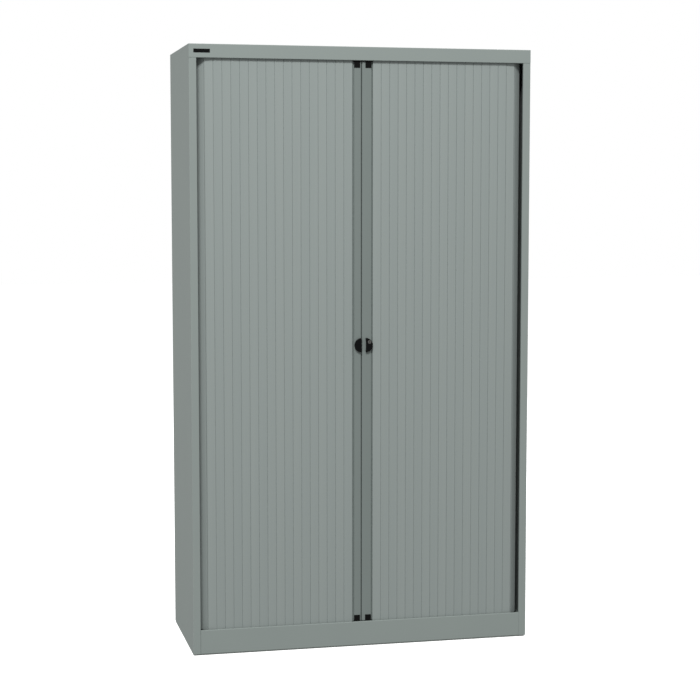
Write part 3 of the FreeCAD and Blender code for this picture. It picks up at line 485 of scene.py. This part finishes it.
def cellular_rubber(name, colour):
    """Cellular rubber: through-coloured, dead matt, with a fine open texture of cut cells."""
    material, tree, shader = new_material(name)
    place = add_node(tree, "ShaderNodeTexCoord").outputs["Object"]
    cells = add_node(tree, "ShaderNodeTexVoronoi", {"Vector": place, "Scale": 1 / CELL})
    bump = add_node(
        tree, "ShaderNodeBump",
        {"Height": cells.outputs["Distance"], "Strength": 0.6, "Distance": CELL_DEPTH},
    )
    tree.links.new(bump.outputs["Normal"], shader.inputs["Normal"])
    shader.inputs["Base Color"].default_value = linear(colour)
    shader.inputs["Roughness"].default_value = 0.85
    return material


rubber = cellular_rubber("black_rubber", "#151515")
eased("track_stops", rubber, "rubber", STOP_EDGE, STOP_INNER_EDGE, STOP_EDGE, 0)


# Shutters: upright slats of extruded PVC in the body's colour, each turning on the round edge of the
# next. They stand in the tracks at both ends. The four slats past each corner are already turned
# into the side when the cupboard is shut.

SLAT_EDGE = 1.5 * MM
GOLDEN_SHARE = 0.618
SHADE_SHARE = 0.25
VINYL_GLOSS = 0.25


def extruded_vinyl(name):
    """Rigid PVC extrusion, through-coloured and matt: fine draw lines run the length of each slat, and
    slats from different runs differ by a shade. The lines are 0.3 mm apart on the real slat and are
    drawn at 1.5 mm."""
    material, tree, shader = new_material(name)
    line_width, line_length = 1.5 * MM, 900 * MM
    across = add_node(tree, "ShaderNodeUVMap", uv_map="slat")
    stretched = add_node(
        tree, "ShaderNodeMapping",
        {"Vector": across.outputs["UV"], "Scale": (1 / line_width, 1 / line_length, 1.0)},
    )
    lines = add_node(
        tree, "ShaderNodeTexNoise",
        {"Vector": stretched.outputs["Vector"], "Scale": 1.0, "Detail": 2.0},
    )
    run = add_node(tree, "ShaderNodeAttribute", attribute_name="slat_shade")
    share = add_node(
        tree, "ShaderNodeMix",
        {"Factor": SHADE_SHARE, "A": lines.outputs["Fac"], "B": run.outputs["Fac"]},
        data_type="FLOAT",
    )
    tone = add_node(
        tree, "ShaderNodeMix",
        {"Factor": share.outputs["Result"], "A": linear("#8b9492"), "B": linear("#949c99")},
        data_type="RGBA",
    )
    tree.links.new(tone.outputs["Result"], shader.inputs["Base Color"])
    bump = add_node(
        tree, "ShaderNodeBump",
        {"Height": lines.outputs["Fac"], "Strength": 0.5, "Distance": 0.02 * MM},
    )
    tree.links.new(bump.outputs["Normal"], shader.inputs["Normal"])
    shader.inputs["Roughness"].default_value = 0.6
    shader.inputs["IOR"].default_value = 1.53
    shader.inputs["Specular IOR Level"].default_value = VINYL_GLOSS
    return material


def slat_mesh(faces, count):
    """One slat as a mesh of its own, with the ways across and up it and its shade written in."""
    part = bmesh.new()
    twins = {}
    for face in faces:
        for vert in face.verts:
            if vert not in twins:
                twins[vert] = part.verts.new(vert.co)
        part.faces.new([twins[vert] for vert in face.verts])
    part.normal_update()
    weigh_edges(part, SLAT_EDGE, SLAT_EDGE, SLAT_EDGE, 0)
    weight = part.edges.layers.float["bevel_weight_edge"]
    for edge in part.edges:
        if edge[weight] and abs(edge.verts[0].co.z - edge.verts[1].co.z) < 1 * MM:
            # the sawn ends stay sharp
            edge[weight] = 0
            edge.smooth = False
    uv = part.loops.layers.uv.new("slat")
    shade = part.verts.layers.float.new("slat_shade")
    for face in part.faces:
        for loop in face.loops:
            loop[uv].uv = (loop.vert.co.x + loop.vert.co.y, loop.vert.co.z)
    for vert in part.verts:
        vert[shade] = (count * GOLDEN_SHARE) % 1
    return part


def slide(slat, joint, middle):
    """Gives a slat a mesh of its own."""
    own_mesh(slat)


vinyl = extruded_vinyl("extruded_vinyl_grey")
for side, outward in (("left", Vector((-1, 0, 0))), ("right", Vector((1, 0, 0)))):
    node, joint = "shutter_" + side, side + "_shutter_slide"
    solids = merged_copy(node)
    found = []
    for faces in islands(solids):
        points = [vert.co for face in faces for vert in face.verts]
        found.append((sum(points, Vector()) / len(points), faces))
    # from the stile outwards and then back along the side
    found.sort(key=lambda item: item[0].dot(outward) + item[0].y)
    for count, (middle, faces) in enumerate(found):
        front = max(faces, key=lambda face: face.calc_area()).normal
        part = slat_mesh(faces, count if side == "left" else count + len(found))
        name = f"slat_{side}_{count + 1}"
        slat = finished(part, name, "carcass", [vinyl], "slat_plastic", [node], SLAT_EDGE)
        slide(slat, joint, middle)
    solids.free()


# Lead stiles: hollow aluminium extrusions, powder coated a shade darker than the slats, with a deep
# groove down the outer edge and a bead behind it on which the first slat turns. The edges at the
# seam are rounder, and a soft strip fills the seam.

SEAM_EDGE = 3.5 * MM
STILE_EDGE = 1.8 * MM
STILE_INNER_EDGE = 0.5 * MM
STILE_RIM = 0.3 * MM
STRIP_EDGE = 0.4 * MM
STRIP_INNER_EDGE = 0.3 * MM

stile_coat = powder_coat("powder_coat_stile", "#7b8481", "#77807d", 0.4)
for side in ("left", "right"):
    stile = "stile_" + side
    low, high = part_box(stile)
    seam = high.x if side == "left" else low.x
    work = merged_copy(stile)
    weigh_edges(work, SEAM_EDGE, STILE_INNER_EDGE, STILE_RIM, SHEET_RIM_WIDTH)
    weight = work.edges.layers.float["bevel_weight_edge"]
    for edge in work.edges:
        at_seam = all(
            abs(vert.co.x - seam) < SMALLEST_STEP and vert.co.y < low.y + SMALLEST_STEP
            for vert in edge.verts
        )
        if not at_seam:
            edge[weight] = min(edge[weight], STILE_EDGE / SEAM_EDGE)
    body = frame["nodes"][stile]["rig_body"]
    finished(work, stile + "_finished", body, [stile_coat], "stile_paint", [stile], SEAM_EDGE)
grey_rubber = cellular_rubber("grey_rubber", "#3c403f")
eased("meeting_strip", grey_rubber, "rubber", STRIP_EDGE, STRIP_INNER_EDGE, STRIP_EDGE, 0)


# Shoes: moulded black ends of the stiles. A plug holds each in the tube, a tongue runs in the track
# and a tab lies on the stile's face.

SHOE_EDGE = 0.5 * MM
SHOE_LEDGE = 1.0 * MM

for side in ("left", "right"):
    for end in ("top", "bottom"):
        eased(
            f"shoe_{side}_{end}", black_nylon, "black_plastic",
            SHOE_EDGE, SHOE_EDGE / 2, SHOE_EDGE / 4, SHOE_LEDGE,
        )


# Finger pulls: two half discs moulded in black ABS, screwed on from behind the stiles. The front edge
# is well rounded, and the flat side is hollow behind for the fingertips. The right one takes the lock.

PULL_EDGE = 0.3 * MM

black_abs = moulded("black_abs", "#0e0f10", "#090a0a", 0.36, 0.9 * MM, 0.02 * MM)
for side in ("left", "right"):
    eased("pull_" + side, black_abs, "black_plastic", PULL_EDGE, PULL_EDGE, PULL_EDGE, 0)


# Lock: nickel-plated brass case and barrel in the right pull, a ring nut behind the stile, and a
# stamped steel hook that swings up over the pin on the left stile.

CASE_EDGE = 0.3 * MM
BARREL_EDGE = 0.2 * MM
FITTING_EDGE = 0.4 * MM


def satin_nickel(name):
    """Nickel plate over turned brass, gone dull from keys and fingers: grey metal with the fine rings
    of the turning tool, which are 0.1 mm apart and are drawn at 0.5 mm."""
    material, tree, shader = new_material(name)
    low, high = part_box("lock_case")
    centre = (low + high) / 2
    place = add_node(tree, "ShaderNodeTexCoord").outputs["Object"]
    centred = add_node(tree, "ShaderNodeMapping", {"Vector": place, "Location": -centre})
    rings = add_node(
        tree, "ShaderNodeTexWave",
        {"Vector": centred.outputs["Vector"], "Scale": 1 / (0.5 * MM) / 20, "Distortion": 0.4},
        wave_type="RINGS", rings_direction="Y",
    )
    gloss = add_node(
        tree, "ShaderNodeMapRange", {"Value": rings.outputs["Fac"], "To Min": 0.3, "To Max": 0.44}
    )
    tree.links.new(gloss.outputs["Result"], shader.inputs["Roughness"])
    shader.inputs["Base Color"].default_value = linear("#7c7c79")
    shader.inputs["Metallic"].default_value = 1.0
    return material


nickel = satin_nickel("satin_nickel")
eased("lock_case", nickel, "nickel_plate", CASE_EDGE, BARREL_EDGE, CASE_EDGE, 0)
eased("lock_barrel", nickel, "nickel_plate", BARREL_EDGE, BARREL_EDGE, BARREL_EDGE, 0)
for fitting in ("lock_ring_nut", "lock_hook", "lock_hook_nut", "keeper"):
    eased(fitting, zinc, "zinc_plated_steel", FITTING_EDGE, FITTING_EDGE, FITTING_EDGE, 0)


# Rail plate: a thin bare plate, moulded in the same black ABS as the pulls with hardly eased edges.
# It is glued to the left end of the top rail.

PLATE_EDGE = 0.25 * MM

eased("rail_plate", black_abs, "black_plastic", PLATE_EDGE, PLATE_EDGE, PLATE_EDGE, 0)


# Studio: a white floor and surround, a large soft light high up in front, whose light falls off down
# the shutters, and two weaker ones on the left and behind. The floor glows like a light table, but
# not under the cupboard. It is white in the picture and throws no light back at the cupboard.

FLOOR_REACH = 100.0
UNDER_HALF_WIDTH = 0.569
UNDER_HALF_DEPTH = 0.234
FLOOR_GLOW = 0.65
SURROUND_LIGHT = 0.42


def soft_light(name, place, aim, width, height, power):
    """A soft box that looks at a point, with its size in metres and its power in watts."""
    data = bpy.data.lights.new(name, "AREA")
    data.shape = "RECTANGLE"
    data.size = width
    data.size_y = height
    data.energy = power
    light = bpy.data.objects.new(name, data)
    light.location = place
    light.rotation_mode = "QUATERNION"
    light.rotation_quaternion = (Vector(aim) - Vector(place)).to_track_quat("-Z", "Y")
    bpy.context.scene.collection.objects.link(light)


def white_floor(name, glow):
    """White sheet material, dead matt, with faint unevenness, lit from behind or not."""
    paint, tree, shader = new_material(name)
    place = add_node(tree, "ShaderNodeTexCoord").outputs["Object"]
    cloud = add_node(tree, "ShaderNodeTexNoise", {"Vector": place, "Scale": 1.5, "Detail": 2.0})
    tone = add_node(
        tree, "ShaderNodeMix",
        {"Factor": cloud.outputs["Fac"], "A": linear("#f2f2f1"), "B": linear("#fafaf9")},
        data_type="RGBA",
    )
    tree.links.new(tone.outputs["Result"], shader.inputs["Base Color"])
    shader.inputs["Roughness"].default_value = 0.9
    shader.inputs["Emission Color"].default_value = linear("#ffffff")
    shader.inputs["Emission Strength"].default_value = glow
    return paint


floor_work = bmesh.new()
under = bmesh.ops.create_grid(floor_work, x_segments=1, y_segments=1, size=1)["verts"]
bmesh.ops.scale(floor_work, verts=under, vec=(UNDER_HALF_WIDTH, UNDER_HALF_DEPTH, 1))
around = bmesh.ops.extrude_edge_only(floor_work, edges=list(floor_work.edges))["geom"]
rim = [item for item in around if isinstance(item, bmesh.types.BMVert)]
bmesh.ops.scale(floor_work, verts=rim, vec=(FLOOR_REACH, FLOOR_REACH, 1))
bmesh.ops.recalc_face_normals(floor_work, faces=floor_work.faces)
for face in floor_work.faces:
    face.material_index = 1 if face.calc_center_median().length < 1 * MM else 0
floor_mesh = bpy.data.meshes.new("floor")
floor_work.to_mesh(floor_mesh)
floor_work.free()
floor_mesh.materials.append(white_floor("white_light_table", FLOOR_GLOW))
floor_mesh.materials.append(white_floor("white_sheet", 0))
floor = bpy.data.objects.new("floor", floor_mesh)
floor.visible_diffuse = False
floor.visible_glossy = False
bpy.context.scene.collection.objects.link(floor)

# the surround is seen white, and lights the cupboard at half that
surround = bpy.data.worlds.new("surround")
surround.use_nodes = True
sky = surround.node_tree
sky.nodes.clear()
white = linear("#ffffff")
seen = add_node(sky, "ShaderNodeBackground", {"Color": white, "Strength": 1.0})
lit = add_node(sky, "ShaderNodeBackground", {"Color": white, "Strength": SURROUND_LIGHT})
ray = add_node(sky, "ShaderNodeLightPath")
both = add_node(
    sky, "ShaderNodeMixShader",
    {0: ray.outputs["Is Camera Ray"], 1: lit.outputs["Background"], 2: seen.outputs["Background"]},
)
add_node(sky, "ShaderNodeOutputWorld", {"Surface": both.outputs["Shader"]})
bpy.context.scene.world = surround
soft_light("key_light", (-2.4, -7.0, 9.0), (0, -0.2, 1.0), 4.0, 2.0, 995)
soft_light("fill_light", (-5.0, 1.0, 1.2), (-0.6, 0, 0.9), 2.5, 2.5, 54)
soft_light("back_light", (3.5, 4.5, 3.2), (0, 0, 1.0), 2.5, 2.5, 130)
bpy.context.scene.view_settings.view_transform = "Standard"


# Camera: 5.9 m from the cupboard and a little to its left, at eye height, looking slightly down, with
# no roll and no shift. The focal length is that of the picture in its own pixels.

CAMERA_PLACE = (-1.317, -5.727, 1.503)
CAMERA_YAW = math.radians(13.04)
CAMERA_PITCH = math.radians(-5.16)
FOCAL_PIXELS = 1722
IMAGE_PIXELS = 700

view = bpy.data.cameras.new("camera")
view.sensor_width = 36.0
view.lens = view.sensor_width * FOCAL_PIXELS / IMAGE_PIXELS
camera = bpy.data.objects.new("camera", view)
camera.location = CAMERA_PLACE
camera.rotation_euler = (math.pi / 2 + CAMERA_PITCH, 0, -CAMERA_YAW)
bpy.context.scene.collection.objects.link(camera)
bpy.context.scene.camera = camera
